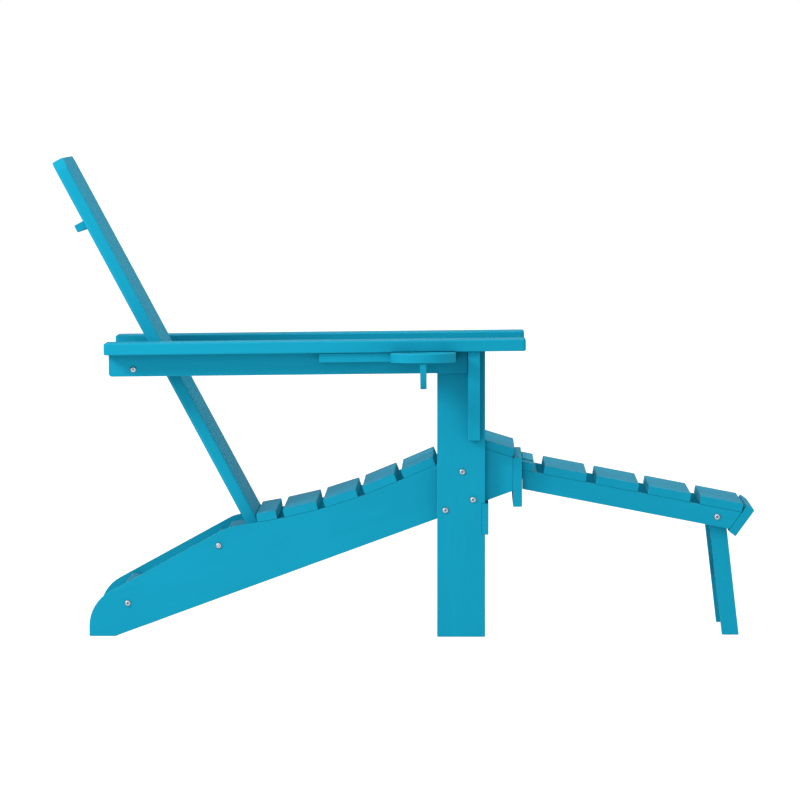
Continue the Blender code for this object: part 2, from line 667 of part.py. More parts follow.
def build_hinge(frame, deck, slat):
    """A long strip hinge: its odd knuckles and pin are on the front board, the even ones on the deck.

    The first slat is cut back round the barrel and the fixed leaf.
    """
    half = HINGE_KNUCKLES * KNUCKLE_LENGTH / 2
    rest = math.radians(REST_SLOPE)
    dx, dz = HINGE[0] - REST_ORIGIN[0], HINGE[1] - REST_ORIGIN[1]
    deck_x, deck_z = dx * math.cos(rest) - dz * math.sin(rest), dx * math.sin(rest) + dz * math.cos(rest)
    rear = FRONT_FACE_X + GAP
    neck = HINGE[1] - KNUCKLE_RADIUS - KNUCKLE_SPACE
    plate = block((rear, -half, HINGE[1] - FIXED_LEAF_HEIGHT), (rear + LEAF, half, neck))
    fixed = add_mesh_object("hinge_fixed_leaf", plate, frame)
    top = SLAT + 2 * GAP
    front = deck_x + KNUCKLE_RADIUS + KNUCKLE_SPACE
    plate = block((front, -half, top), (front + MOVING_LEAF_WIDTH, half, top + LEAF))
    moving = add_mesh_object("hinge_moving_leaf", plate, deck)
    for i in range(HINGE_KNUCKLES):
        low = -half + i * KNUCKLE_LENGTH + KNUCKLE_SPACE / 2
        high = low + KNUCKLE_LENGTH - KNUCKLE_SPACE
        if i % 2 == 0:
            leaf, parent, x, z = fixed, frame, HINGE[0], HINGE[1]
            tab = block((rear, low, neck - LEAF), (rear + LEAF, high, HINGE[1]))
        else:
            leaf, parent, x, z = moving, deck, deck_x, deck_z
            tab = block((deck_x, low, top), (front + LEAF, high, top + LEAF))
        boolean(leaf, add_tool(f"hinge_tab_{i}", tab, parent), "UNION")
        barrel = add_tool(f"hinge_barrel_{i}", knuckle(KNUCKLE_RADIUS, low, high), parent, (x, 0.0, z))
        lay(barrel, 1)
        boolean(leaf, barrel, "UNION")
    pin = add_tool("hinge_pin", knuckle(PIN_RADIUS, -half + LEAF, half - LEAF), frame, (HINGE[0], 0.0, HINGE[1]))
    lay(pin, 1)
    boolean(fixed, pin, "UNION")
    bore = add_tool("hinge_bore", knuckle(PIN_RADIUS + PIN_CLEARANCE, -half, half), deck, (deck_x, 0.0, deck_z))
    lay(bore, 1)
    boolean(moving, bore, "DIFFERENCE")
    low_z = HINGE[1] - KNUCKLE_RADIUS - GAP
    room = half + GAP
    barrel_room = block((rear - LEAF, -room, low_z), (HINGE[0] + KNUCKLE_RADIUS + GAP, room, low_z + BOARD))
    leaf_room = block((rear - LEAF, -room, low_z - BOARD), (rear + LEAF + GAP, room, low_z + BOARD))
    boolean(slat, add_tool("hinge_barrel_room", barrel_room, frame), "DIFFERENCE")
    boolean(slat, add_tool("hinge_leaf_room", leaf_room, frame), "DIFFERENCE")
    paint(fixed, BLUE, 0.4, 0.0)
    paint(moving, BLUE, 0.4, 0.0)


def centre_on_floor(frame):
    """Moves the chair so that the origin is under the middle of its box, on the floor."""
    bpy.context.view_layer.update()
    pieces = [o for o in bpy.data.objects if o.type == "MESH" and not o.hide_render]
    corners = [o.matrix_world @ v.co for o in pieces for v in o.data.vertices]
    low = Vector([min(c[i] for c in corners) for i in range(3)])
    high = Vector([max(c[i] for c in corners) for i in range(3)])
    frame.location = (-(low.x + high.x) / 2, -(low.y + high.y) / 2, -low.z)
    bpy.context.view_layer.update()


def main():
    clear_scene()
    frame = add_empty("chair_frame", (0.0, 0.0, 0.0))
    rails = build_seat(frame)
    build_back(frame)
    plane = build_arms(frame, rails)
    build_front(frame)
    build_cup_holder(plane)
    build_footrest(frame)
    centre_on_floor(frame)


main()
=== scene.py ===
import json
import math

import bmesh
import bpy
import numpy as np
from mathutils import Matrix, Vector
from mathutils.geometry import tessellate_polygon


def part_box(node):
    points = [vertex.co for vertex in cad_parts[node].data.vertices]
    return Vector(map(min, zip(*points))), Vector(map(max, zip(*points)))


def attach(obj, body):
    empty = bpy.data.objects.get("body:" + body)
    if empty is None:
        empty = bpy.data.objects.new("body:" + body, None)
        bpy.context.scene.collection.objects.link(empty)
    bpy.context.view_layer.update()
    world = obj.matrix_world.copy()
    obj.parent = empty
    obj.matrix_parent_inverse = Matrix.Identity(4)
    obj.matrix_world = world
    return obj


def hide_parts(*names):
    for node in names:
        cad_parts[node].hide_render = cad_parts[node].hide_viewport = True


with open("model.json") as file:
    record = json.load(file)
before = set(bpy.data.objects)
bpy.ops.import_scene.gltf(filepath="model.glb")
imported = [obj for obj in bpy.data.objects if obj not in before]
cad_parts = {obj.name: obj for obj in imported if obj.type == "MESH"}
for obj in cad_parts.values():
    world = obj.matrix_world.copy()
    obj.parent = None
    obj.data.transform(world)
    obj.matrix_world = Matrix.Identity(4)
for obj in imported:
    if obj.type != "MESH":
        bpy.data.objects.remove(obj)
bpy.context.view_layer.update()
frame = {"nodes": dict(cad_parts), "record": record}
nodes = frame["nodes"]
slotOf = {part["node"]: part["material_slot"] for part in frame["record"]["subparts"]}
bodyOf = {n: body for body, names in frame["record"]["behaviour"]["bodies"].items() for n in names}


# small array helpers
def unit(v):
    v = np.asarray(v, float)
    return v / np.linalg.norm(v, axis=-1, keepdims=True)


def vectorsOf(items, field, kind=np.float32):
    values = np.empty(len(items) * 3, kind)
    items.foreach_get(field, values)
    return values.reshape(-1, 3).astype(float if kind is np.float32 else int)


def triangleTable(name):
    # the node's points with equal ones made one, and its triangles in those points
    mesh = nodes[name].data
    mesh.calc_loop_triangles()
    points, same = np.unique(np.round(vectorsOf(mesh.vertices, "co"), 6), axis=0, return_inverse=True)
    triangles = same.reshape(-1)[vectorsOf(mesh.loop_triangles, "vertices", np.int32)]
    return points, triangles


def broadSide(points, triangles):
    # the direction of the board's largest flat side: the normal that gathers the most area
    corners = points[triangles]
    crossed = np.cross(corners[:, 1] - corners[:, 0], corners[:, 2] - corners[:, 0])
    area = np.linalg.norm(crossed, axis=1)
    normal = crossed / np.maximum(area, 1e-15)[:, None]
    alike = normal @ normal.T
    shared = ((np.abs(alike) > 0.9999) * area[None, :]).sum(1)
    chosen = np.argmax(shared)
    family = (np.abs(alike[chosen]) > 0.9999) * np.sign(alike[chosen])
    best = unit((crossed * family[:, None]).sum(0))
    return best if best[np.argmax(np.abs(best))] > 0 else -best


def endLoops(points, triangles, through):
    # closed borders of the flat end that lies lowest along a direction, longest first
    depth = points @ through
    flat = triangles[(np.abs(depth[triangles] - depth.min()) < 1e-4).all(1)]
    edges = {(int(a), int(b)) for t in flat for a, b in zip(t, np.roll(t, -1))}
    following = {a: b for a, b in edges if (b, a) not in edges}
    loops = []
    while following:
        loop = [next(iter(following))]
        while loop[-1] in following:
            loop.append(following.pop(loop[-1]))
        loops.append(points[loop[:-1]])
    around = [np.linalg.norm(np.roll(p, -1, 0) - p, axis=1).sum() for p in loops]
    return [loops[i] for i in np.argsort(around)[::-1]], depth.min(), depth.max()


def cornersOnly(outline):
    # leaves out points where the border runs straight on
    before = unit(outline - np.roll(outline, 1, 0))
    after = unit(np.roll(outline, -1, 0) - outline)
    return outline[(before * after).sum(1) < 0.99999]


def signedArea(outline):
    x, y = outline[:, 0], outline[:, 1]
    return 0.5 * (x * np.roll(y, -1) - y * np.roll(x, -1)).sum()


def roundCorners(outline, radius, steps):
    # each corner becomes an arc: the normal turns evenly from one edge's to the next one's,
    # and the point is the arc's centre plus the radius along that normal
    come = outline - np.roll(outline, 1, 0)
    go = np.roll(outline, -1, 0) - outline
    room = 0.45 * np.minimum(np.linalg.norm(come, axis=1), np.linalg.norm(go, axis=1))
    come, go = unit(come), unit(go)
    turn = np.arctan2(come[:, 0] * go[:, 1] - come[:, 1] * go[:, 0], (come * go).sum(1))
    reach = np.minimum(radius * np.tan(np.abs(turn) / 2), room)
    bend = np.sign(turn) * reach / np.tan(np.abs(turn) / 2)
    angle = np.arctan2(-come[:, 0], come[:, 1])[:, None] + turn[:, None] * np.linspace(0, 1, steps + 1)
    normal = np.stack([np.cos(angle), np.sin(angle)], -1)
    start = (outline - come * reach[:, None])[:, None, :]
    return (start + bend[:, None, None] * (normal - normal[:, :1])).reshape(-1, 2)


def makeMesh(name, points, faces, normals=None):
    mesh = bpy.data.meshes.new(name)
    mesh.from_pydata(points.tolist(), [], faces)
    mesh.update()
    if normals is not None:
        mesh.normals_split_custom_set(normals)
    piece = bpy.data.objects.new(name, mesh)
    bpy.context.scene.collection.objects.link(piece)
    return piece


def setAttribute(piece, name, kind, values):
    field = "vector" if kind == "FLOAT_VECTOR" else "value"
    layer = piece.data.attributes.new(name, kind, "POINT")
    layer.data.foreach_set(field, np.ascontiguousarray(values, np.float32).reshape(-1))


def edgedPlate(loops, low, high, ease, depthEase, rounds):
    # a plate between two flat ends whose border eases over an elliptic quarter:
    # inwards by ease*(1 - sin a) and down by depthEase*(1 - cos a), a from 0 at the end face to 90 degrees
    quarter = np.linspace(0, np.pi / 2, rounds + 1)
    angle = np.concatenate([quarter, quarter[::-1]])
    level = np.concatenate([low + depthEase * (1 - np.cos(quarter)), high - depthEase * (1 - np.cos(quarter[::-1]))])
    facing = np.concatenate([-np.ones(rounds + 1), np.ones(rounds + 1)])
    points, faces, normals, rims, caps = [], [], [], [], []
    first = 0
    for outline in loops:
        count = len(outline)
        go = np.roll(outline, -1, 0) - outline
        side = np.stack([go[:, 1], -go[:, 0]], -1) / np.linalg.norm(go, axis=1)[:, None]
        inset = ease(side)
        last = np.roll(side, 1, 0)
        lastInset = np.roll(inset, 1)
        spread = last[:, 0] * side[:, 1] - last[:, 1] * side[:, 0]
        straight = np.abs(spread) < 1e-3
        spread = np.where(straight, 1, spread)
        mitre = np.stack([lastInset * side[:, 1] - inset * last[:, 1], inset * last[:, 0] - lastInset * side[:, 0]], -1)
        mitre = np.where(straight[:, None], side * inset[:, None], mitre / spread[:, None])
        smooth = (last * side).sum(1) > 0.7
        startSide = np.where(smooth[:, None], unit(last + side), side)
        endSide = np.roll(np.where(smooth[:, None], unit(last + side), last), -1, 0)
        rows = outline[None] - mitre[None] * (1 - np.sin(angle))[:, None, None]
        ring = np.concatenate([rows, np.broadcast_to(level[:, None, None], rows.shape[:2] + (1,))], -1)
        points.append(ring.reshape(-1, 3))
        rims.append(np.repeat(np.sin(2 * angle), count))
        out = depthEase * np.sin(angle)[:, None]
        up = (inset[None] * np.cos(angle)[:, None] + 1e-9) * facing[:, None]
        startNormal = unit(np.concatenate([startSide[None] * out[..., None], up[..., None]], -1))
        endNormal = unit(np.concatenate([endSide[None] * out[..., None], up[..., None]], -1))
        row, col = np.meshgrid(np.arange(len(angle) - 1), np.arange(count), indexing="ij")
        right = (col + 1) % count
        quads = np.stack([row * count + col, row * count + right, (row + 1) * count + right, (row + 1) * count + col], -1)
        faces += (first + quads.reshape(-1, 4)).tolist()
        corner = np.stack([startNormal[row, col], endNormal[row, col], endNormal[row + 1, col], startNormal[row + 1, col]], 2)
        normals.append(corner.reshape(-1, 3))
        caps.append((first, first + (len(angle) - 1) * count, count))
        first += ring.shape[0] * count
    points = np.concatenate(points)
    bottom = [list(range(start, start + count)) for start, _, count in caps]
    top = [list(range(start, start + count)) for _, start, count in caps]
    if len(caps) == 1:
        ends = [bottom[0][::-1], top[0]]
    else:
        ends = []
        for rings, flip in ((bottom, True), (top, False)):
            flat = sum(rings, [])
            for a, b, c in tessellate_polygon([[Vector(points[i]) for i in ring] for ring in rings]):
                triangle = [flat[a], flat[b], flat[c]]
                p, q, r = points[triangle][:, :2]
                leftTurn = (q[0] - p[0]) * (r[1] - p[1]) - (q[1] - p[1]) * (r[0] - p[0]) > 0
                ends.append(triangle if leftTurn != flip else triangle[::-1])
    for end in ends:
        up = 1.0 if points[end[0], 2] > (low + high) / 2 else -1.0
        normals.append(np.tile([0.0, 0.0, up], (len(end), 1)))
    return points, faces + ends, np.concatenate(normals), np.concatenate(rims)


# boards: name start, the direction through the board, in-plane corner radius, easing of the long sides
# and of the ends, easing down the thickness; grain says whether the grain runs through or along
boardKinds = {
    "seat_slat": dict(through="y", corner=0.0016, side=0.0008, end=0.0008, down=0.0008, grain="through"),
    "footrest_slat": dict(through="y", corner=0.0016, side=0.0008, end=0.0008, down=0.0008, grain="through"),
    "back_slat": dict(through="broad", corner=0.0, side=0.0060, end=0.0016, down=0.0060, grain="along"),
    "back_batten": dict(through="y", corner=0.0016, side=0.0008, end=0.0008, down=0.0008, grain="through"),
    "seat_rail": dict(through="y", corner=0.0018, side=0.0009, end=0.0009, down=0.0009, grain="along"),
    "front_leg": dict(through="y", corner=0.0016, side=0.0015, end=0.0015, down=0.0015, grain="along"),
    "front_board": dict(through="y", corner=0.0016, side=0.0008, end=0.0008, down=0.0008, grain="through"),
    "front_stretcher": dict(through="y", corner=0.0012, side=0.0008, end=0.0008, down=0.0008, grain="through"),
    "heel_board": dict(through="y", corner=0.0020, side=0.0008, end=0.0008, down=0.0008, grain="through"),
    "rear_board": dict(through="y", corner=0.0020, side=0.0008, end=0.0008, down=0.0008, grain="through"),
    "back_foot_board": dict(through="y", corner=0.0020, side=0.0008, end=0.0008, down=0.0008, grain="through"),
    "back_cross_rail": dict(through="y", corner=0.0020, side=0.0008, end=0.0008, down=0.0008, grain="through"),
    "armrest": dict(through="broad", corner=0.0, side=0.0030, end=0.0030, down=0.0030, grain="along"),
    "arm_apron": dict(through="y", corner=0.0012, side=0.0010, end=0.0010, down=0.0010, grain="along"),
    "arm_bracket": dict(through="x", corner=0.0012, side=0.0010, end=0.0010, down=0.0010, grain="along"),
    "cup_board": dict(through="broad", corner=0.0, side=0.0022, end=0.0022, down=0.0022, grain="along"),
    "cup_cradle": dict(through="broad", corner=0.0010, side=0.0008, end=0.0008, down=0.0008, grain="along"),
    "footrest_rail": dict(through="y", corner=0.0014, side=0.0008, end=0.0008, down=0.0008, grain="along"),
    "footrest_leg_bar": dict(through="y", corner=0.0016, side=0.0008, end=0.0008, down=0.0008, grain="through"),
    "footrest_leg": dict(through="y", corner=0.0014, side=0.0012, end=0.0012, down=0.0012, grain="along"),
    "footrest_end_board": dict(through="y", corner=0.0016, side=0.0008, end=0.0008, down=0.0008, grain="through"),
    "footrest_cross_board": dict(through="y", corner=0.0016, side=0.0008, end=0.0008, down=0.0008, grain="through"),
}


def kindOf(name):
    fits = [k for k in boardKinds if name.startswith(k)]
    return max(fits, key=len) if fits else None


def cutFoot(local, corners, foot):
    # the foot edge follows the slat's side profile: the lowest corner found at each depth
    near = corners[corners[:, 0] < corners[:, 0].min() + 0.03]
    depths = np.unique(np.round(near[:, 1], 4))
    lowest = np.array([near[np.abs(near[:, 1] - d) < 2e-4, 0].min() for d in depths])
    moved = local.copy()
    edge = local[:, 0] < local[:, 0].min() + 0.004
    start = lowest[0] if abs(lowest[0] - local[edge, 0].min()) < 0.004 else foot
    moved[edge, 0] += np.interp(local[edge, 2], depths, lowest) - start
    return moved


def makeBoard(name, shape, number):
    points, triangles = triangleTable(name)
    axes = {"x": (1.0, 0.0, 0.0), "y": (0.0, 1.0, 0.0)}
    through = np.array(axes[shape["through"]]) if shape["through"] in axes else broadSide(points, triangles)
    loops, low, high = endLoops(points, triangles, through)
    keep = 2 if name == "cup_board" else 1
    border = loops[0]
    longest = np.argmax(np.linalg.norm(np.roll(border, -1, 0) - border, axis=1))
    along = unit(np.roll(border, -1, 0)[longest] - border[longest])
    if name.startswith("back_slat") and along[2] < 0:
        along = -along
    across = np.cross(through, along)
    outlines = []
    for i, loop in enumerate(loops[:keep]):
        outline = cornersOnly(np.stack([loop @ along, loop @ across], -1))
        if (signedArea(outline) > 0) != (i == 0):
            outline = outline[::-1]
        if shape["corner"] > 0:
            outline = roundCorners(outline, shape["corner"], 3)
        outlines.append(outline)
    sideEase, endEase = shape["side"], shape["end"]
    ease = lambda facing: endEase + (sideEase - endEase) * np.abs(facing[:, 1]) ** 2
    local, faces, normals, rims = edgedPlate(outlines, low, high, ease, shape["down"], 4)
    if name.startswith("back_slat"):
        local = cutFoot(local, np.stack([points @ along, points @ through], -1), (border @ along).min())
    basis = np.stack([along, across, through])
    piece = makeMesh(name + "_board", local @ basis, faces, normals @ basis)
    middle = (local.min(0) + local.max(0)) / 2
    place = (local - middle)[:, [2, 1, 0]] if shape["grain"] == "through" else local - middle
    setAttribute(piece, "boardPlace", "FLOAT_VECTOR", place + [number * 1.37, number * 0.41, number * 0.23])
    setAttribute(piece, "boardRim", "FLOAT", rims)
    return piece


# finishes
def newMaterial(name):
    material = bpy.data.materials.new(name)
    material.use_nodes = True
    tree = material.node_tree
    tree.nodes.clear()
    output = tree.nodes.new("ShaderNodeOutputMaterial")
    shader = tree.nodes.new("ShaderNodeBsdfPrincipled")
    tree.links.new(shader.outputs["BSDF"], output.inputs["Surface"])
    return material, tree, shader


def addNoise(tree, source, scale, stretch, detail, roughness):
    mapping = tree.nodes.new("ShaderNodeMapping")
    mapping.inputs["Scale"].default_value = stretch
    tree.links.new(source, mapping.inputs["Vector"])
    noise = tree.nodes.new("ShaderNodeTexNoise")
    noise.inputs["Scale"].default_value = scale
    noise.inputs["Detail"].default_value = detail
    noise.inputs["Roughness"].default_value = roughness
    tree.links.new(mapping.outputs["Vector"], noise.inputs["Vector"])
    return noise.outputs["Fac"]


def ranged(tree, value, low, high, outLow, outHigh):
    node = tree.nodes.new("ShaderNodeMapRange")
    for socket, number in zip(("From Min", "From Max", "To Min", "To Max"), (low, high, outLow, outHigh)):
        node.inputs[socket].default_value = number
    tree.links.new(value, node.inputs["Value"])
    return node.outputs["Result"]


def mixed(tree, factor, one, two):
    node = tree.nodes.new("ShaderNodeMix")
    node.data_type = "RGBA"
    colours = [s for s in node.inputs if s.type == "RGBA"]
    tree.links.new(factor, node.inputs[0])
    for socket, value in zip(colours, (one, two)):
        if isinstance(value, bpy.types.NodeSocket):
            tree.links.new(value, socket)
        else:
            socket.default_value = (*value, 1.0)
    return next(s for s in node.outputs if s.type == "RGBA")


boardLooks = {
    "frame_boards": dict(colour=(0.0031, 0.196, 0.298), deep=(0.0024, 0.170, 0.264), pale=(0.0093, 0.242, 0.348)),
    "seat_boards": dict(colour=(0.0031, 0.195, 0.297), deep=(0.0024, 0.169, 0.262), pale=(0.0093, 0.241, 0.347)),
    "back_boards": dict(colour=(0.0034, 0.201, 0.303), deep=(0.0026, 0.174, 0.268), pale=(0.0102, 0.247, 0.354)),
    "arm_boards": dict(colour=(0.0032, 0.199, 0.301), deep=(0.0025, 0.173, 0.266), pale=(0.0098, 0.245, 0.351)),
    "footrest_boards": dict(colour=(0.0031, 0.194, 0.296), deep=(0.0024, 0.168, 0.261), pale=(0.0093, 0.240, 0.346)),
}
lumber = dict(roughLow=0.58, roughHigh=0.68, grainDepth=0.00012, grainStrength=0.35, specular=0.03)


def lumberMaterial(slot, look):
    material, tree, shader = newMaterial(slot + "_plastic")
    place = tree.nodes.new("ShaderNodeAttribute")
    place.attribute_name = "boardPlace"
    rim = tree.nodes.new("ShaderNodeAttribute")
    rim.attribute_name = "boardRim"
    where = place.outputs["Vector"]
    # broad clouding along the board, then fine drawn-out streaks, then a paler arris that is partly wear and partly a
    # painted highlight of light grazing the rounded edge
    cloud = addNoise(tree, where, 1.0, (5.0, 22.0, 22.0), 2.0, 0.5)
    streak = addNoise(tree, where, 1.0, (14.0, 520.0, 520.0), 3.0, 0.6)
    speck = addNoise(tree, where, 1.0, (900.0, 1400.0, 1400.0), 2.0, 0.5)
    base = mixed(tree, ranged(tree, cloud, 0.35, 0.65, 0.0, 0.45), look["colour"], look["deep"])
    base = mixed(tree, ranged(tree, streak, 0.35, 0.70, 0.0, 0.40), base, look["deep"])
    # paler rounded edges: partly wear, partly a painted highlight
    wearAndSheen = tree.nodes.new("ShaderNodeMath")
    wearAndSheen.operation = "MULTIPLY"
    tree.links.new(rim.outputs["Fac"], wearAndSheen.inputs[0])
    tree.links.new(ranged(tree, cloud, 0.30, 0.70, 0.15, 0.50), wearAndSheen.inputs[1])
    base = mixed(tree, wearAndSheen.outputs["Value"], base, look["pale"])
    tree.links.new(base, shader.inputs["Base Color"])
    rough = ranged(tree, speck, 0.3, 0.7, lumber["roughLow"], lumber["roughHigh"])
    tree.links.new(rough, shader.inputs["Roughness"])
    shader.inputs["Specular IOR Level"].default_value = lumber["specular"]
    height = tree.nodes.new("ShaderNodeMath")
    height.operation = "ADD"
    tree.links.new(streak, height.inputs[0])
    tree.links.new(ranged(tree, speck, 0.3, 0.7, 0.0, 0.5), height.inputs[1])
    bump = tree.nodes.new("ShaderNodeBump")
    bump.inputs["Strength"].default_value = lumber["grainStrength"]
    bump.inputs["Distance"].default_value = lumber["grainDepth"]
    tree.links.new(height.outputs["Value"], bump.inputs["Height"])
    tree.links.new(bump.outputs["Normal"], shader.inputs["Normal"])
    return material


# the last dark colour is painted shade for the inside of the bolt sockets
steelLook = dict(colour=(0.33, 0.39, 0.43), dull=(0.24, 0.29, 0.33), paintedSocketShade=(0.055, 0.085, 0.105), roughLow=0.30, roughHigh=0.45)


def steelMaterial():
    material, tree, shader = newMaterial("stainless_steel")
    coords = tree.nodes.new("ShaderNodeTexCoord")
    fine = addNoise(tree, coords.outputs["Object"], 900.0, (1.0, 1.0, 1.0), 3.0, 0.6)
    broad = addNoise(tree, coords.outputs["Object"], 160.0, (1.0, 1.0, 1.0), 2.0, 0.5)
    paintedSocketShade = tree.nodes.new("ShaderNodeAttribute")
    paintedSocketShade.attribute_name = "paintedSocketShade"
    plain = mixed(tree, ranged(tree, broad, 0.35, 0.7, 0.0, 0.6), steelLook["colour"], steelLook["dull"])
    # the socket is darkened to the painted shade colour where the mask is set
    tree.links.new(mixed(tree, paintedSocketShade.outputs["Fac"], plain, steelLook["paintedSocketShade"]), shader.inputs["Base Color"])
    tree.links.new(ranged(tree, fine, 0.3, 0.7, steelLook["roughLow"], steelLook["roughHigh"]), shader.inputs["Roughness"])
    shader.inputs["Metallic"].default_value = 1.0
    return material


materials = {slot: lumberMaterial(slot, look) for slot, look in boardLooks.items()}
materials["steel_hardware"] = steelMaterial()
hingeLook = dict(colour=(0.0036, 0.225, 0.345), deep=(0.0028, 0.195, 0.305), rough=0.62, specular=0.04)


def hingeMaterial():
    material, tree, shader = newMaterial("hinge_powder_coat")
    coords = tree.nodes.new("ShaderNodeTexCoord")
    orange = addNoise(tree, coords.outputs["Object"], 700.0, (1.0, 1.0, 1.0), 2.0, 0.5)
    tree.links.new(mixed(tree, ranged(tree, orange, 0.35, 0.7, 0.0, 0.6), hingeLook["colour"], hingeLook["deep"]),
                   shader.inputs["Base Color"])
    shader.inputs["Roughness"].default_value = hingeLook["rough"]
    shader.inputs["Specular IOR Level"].default_value = hingeLook["specular"]
    return material


materials["hinge_paint"] = hingeMaterial()


def dress(piece, slot, body, *replaced):
    piece.data.materials.clear()
    piece.data.materials.append(materials[slot])
    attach(piece, body)
    if replaced:
        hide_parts(*replaced)
    return piece


# first footrest slat: cut back between its ends to clear the hinge
cutSlat = dict(name="footrest_slat_1", bevel=0.0009)


def makeCutSlat(number):
    name = cutSlat["name"]
    points, triangles = triangleTable(name)
    loops, low, high = endLoops(points, triangles, np.array([0.0, 1.0, 0.0]))
    border = cornersOnly(loops[0][:, [0, 2]])
    # corners in order: rear bottom, rear top, front top, front bottom
    middle = border.mean(0)
    rear, front = (border[(border[:, 0] < middle[0]) == side] for side in (True, False))
    rear, front = rear[np.argsort(rear[:, 1])], front[np.argsort(front[:, 1])[::-1]]
    inner = sorted(set(np.round(points[:, 1], 5)))[1:-1]
    notch = inner[0], inner[-1]
    notchPoints = points[np.abs(points[:, 1] - inner[0]) < 1e-4]
    shelf = notchPoints[np.abs(notchPoints[:, 0] - notchPoints[:, 0].max()) < 2e-4, 2].min()
    barrelFace, leafFace = notchPoints[:, 0].max(), notchPoints[:, 0].min()
    slope = (front[0] - rear[1])[1] / (front[0] - rear[1])[0]
    onTop = lambda x: rear[1][1] + (x - rear[1][0]) * slope
    onBottom = lambda x: rear[0][1] + (x - rear[0][0]) * slope
    whole = np.array([rear[0], (rear[0] * 2 + rear[1]) / 3, (rear[0] + rear[1] * 2) / 3, rear[1], *front])
    cut = np.array([(leafFace, onBottom(leafFace)), (leafFace, shelf), (barrelFace, shelf), (barrelFace, onTop(barrelFace)), *front])
    stations = [(low, whole), (notch[0], whole), (notch[0], cut), (notch[1], cut), (notch[1], whole), (high, whole)]
    rows = np.array([[(x, y, z) for x, z in outline] for y, outline in stations])
    total, count = rows.shape[:2]
    row, col = np.meshgrid(np.arange(total - 1), np.arange(count), indexing="ij")
    right = (col + 1) % count
    quads = np.stack([row * count + col, (row + 1) * count + col, (row + 1) * count + right, row * count + right], -1)
    faces = quads.reshape(-1, 4).tolist() + [list(range(count)), list(range((total - 1) * count, total * count))[::-1]]
    flat = rows.reshape(-1, 3)
    piece = makeMesh(name + "_board", flat, faces)
    place = (flat - flat.mean(0))[:, [1, 0, 2]]
    setAttribute(piece, "boardPlace", "FLOAT_VECTOR", place + [number * 1.37, number * 0.41, number * 0.23])
    setAttribute(piece, "boardRim", "FLOAT", np.zeros(len(flat)))
    tidy = bmesh.new()
    tidy.from_mesh(piece.data)
    bmesh.ops.remove_doubles(tidy, verts=tidy.verts, dist=1e-5)
    bmesh.ops.recalc_face_normals(tidy, faces=tidy.faces)
    tidy.to_mesh(piece.data)
    tidy.free()
    bevel = piece.modifiers.new("eased_edges", "BEVEL")
    bevel.width = cutSlat["bevel"]
    bevel.segments = 2
    bevel.limit_method = "ANGLE"
    return piece


count = 0
for name in sorted(nodes):
    kind = kindOf(name)
    if kind is None:
        continue
    if name == cutSlat["name"]:
        dress(makeCutSlat(40), slotOf[name], bodyOf[name], name)
        continue
    count += 1
    dress(makeBoard(name, boardKinds[kind], count), slotOf[name], bodyOf[name], name)
print("boards made:", count)


# bolts
def latheGrid(profile, steps, socketRows=(), socketSize=0.0):
    # radius and height against the turning angle; on the socket's rows the radius follows a hexagon,
    # size / cos(angle from the middle of the nearest flat). First and last rows are single points
    turn = np.arange(steps) * 2 * np.pi / steps
    radius = np.repeat(profile[1:-1, :1], steps, 1)
    flat = (turn + np.pi / 6) % (np.pi / 3) - np.pi / 6
    for row in socketRows:
        radius[row - 1] = socketSize / np.cos(flat)
    height = np.repeat(profile[1:-1, 1:], steps, 1)
    grid = np.stack([radius * np.cos(turn), radius * np.sin(turn), height], -1).reshape(-1, 3)
    points = np.concatenate([[[0, 0, profile[0, 1]]], grid, [[0, 0, profile[-1, 1]]]])
    rows = len(profile) - 2
    row, col = np.meshgrid(np.arange(rows - 1), np.arange(steps), indexing="ij")
    right = (col + 1) % steps
    quads = 1 + np.stack([row * steps + col, (row + 1) * steps + col, (row + 1) * steps + right, row * steps + right], -1)
    faces = quads.reshape(-1, 4).tolist()
    around = np.arange(steps)
    nextOne = (around + 1) % steps
    last = 1 + (rows - 1) * steps
    faces += np.stack([np.zeros(steps, int), 1 + around, 1 + nextOne], -1).tolist()
    faces += np.stack([last + around, np.full(steps, len(points) - 1), last + nextOne], -1).tolist()
    return points, faces


boltShape = dict(headRadius=0.0061, headHeight=0.0034, shankRadius=0.003, socket=0.0022, socketDepth=0.0022, steps=48)


def headProfile():
    # a button head: a hexagon socket, a lip, and a dome whose height falls off as the square of the radius
    s = boltShape
    lip = s["socket"] * 1.22
    across = np.linspace(lip, s["headRadius"], 9)
    share = (across - lip) / (s["headRadius"] - lip)
    dome = s["headHeight"] * (1 - 0.78 * share ** 2.2)
    floor = s["headHeight"] - s["socketDepth"]
    inner = [(0.0, floor), (s["socket"], floor), (s["socket"], s["headHeight"] - 0.0001), (lip, s["headHeight"])]
    return inner + list(zip(across[1:], dome[1:])) + [(s["headRadius"], 0.0), (s["shankRadius"], 0.0)]


def makeBolt(name):
    low, high = (np.array(c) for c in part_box(name))
    middle = (low + high) / 2
    away = 1.0 if middle[1] > chairMiddle else -1.0
    length = high[1] - low[1]
    headHeight = boltShape["headHeight"]
    profile = headProfile()
    if name.startswith("footrest_pivot"):
        seat = -(length - 2 * headHeight)
        tail = [(boltShape["shankRadius"], seat), (boltShape["headRadius"], seat)]
        tail += [(boltShape["headRadius"], seat - 0.0012), (0.0035, seat - headHeight), (0.0, seat - headHeight)]
    else:
        seat = -(length - headHeight)
        tail = [(boltShape["shankRadius"], seat + 0.0008), (boltShape["shankRadius"] * 0.7, seat), (0.0, seat)]
    local, faces = latheGrid(np.array(profile + tail), boltShape["steps"], (1, 2), boltShape["socket"])
    # the lathe's height points out of the chair's side
    top = high[1] if away > 0 else low[1]
    points = np.stack([middle[0] + local[:, 0], top + away * (local[:, 2] - headHeight), middle[2] + local[:, 1] * away], -1)
    piece = makeMesh(name + "_button", points, faces)
    # the socket's floor and wall, by distance from the axis and below the lip: these get painted shade
    inside = (np.hypot(local[:, 0], local[:, 1]) < boltShape["socket"] * 1.17) & (local[:, 2] > 0)
    setAttribute(piece, "paintedSocketShade", "FLOAT", inside)
    return piece


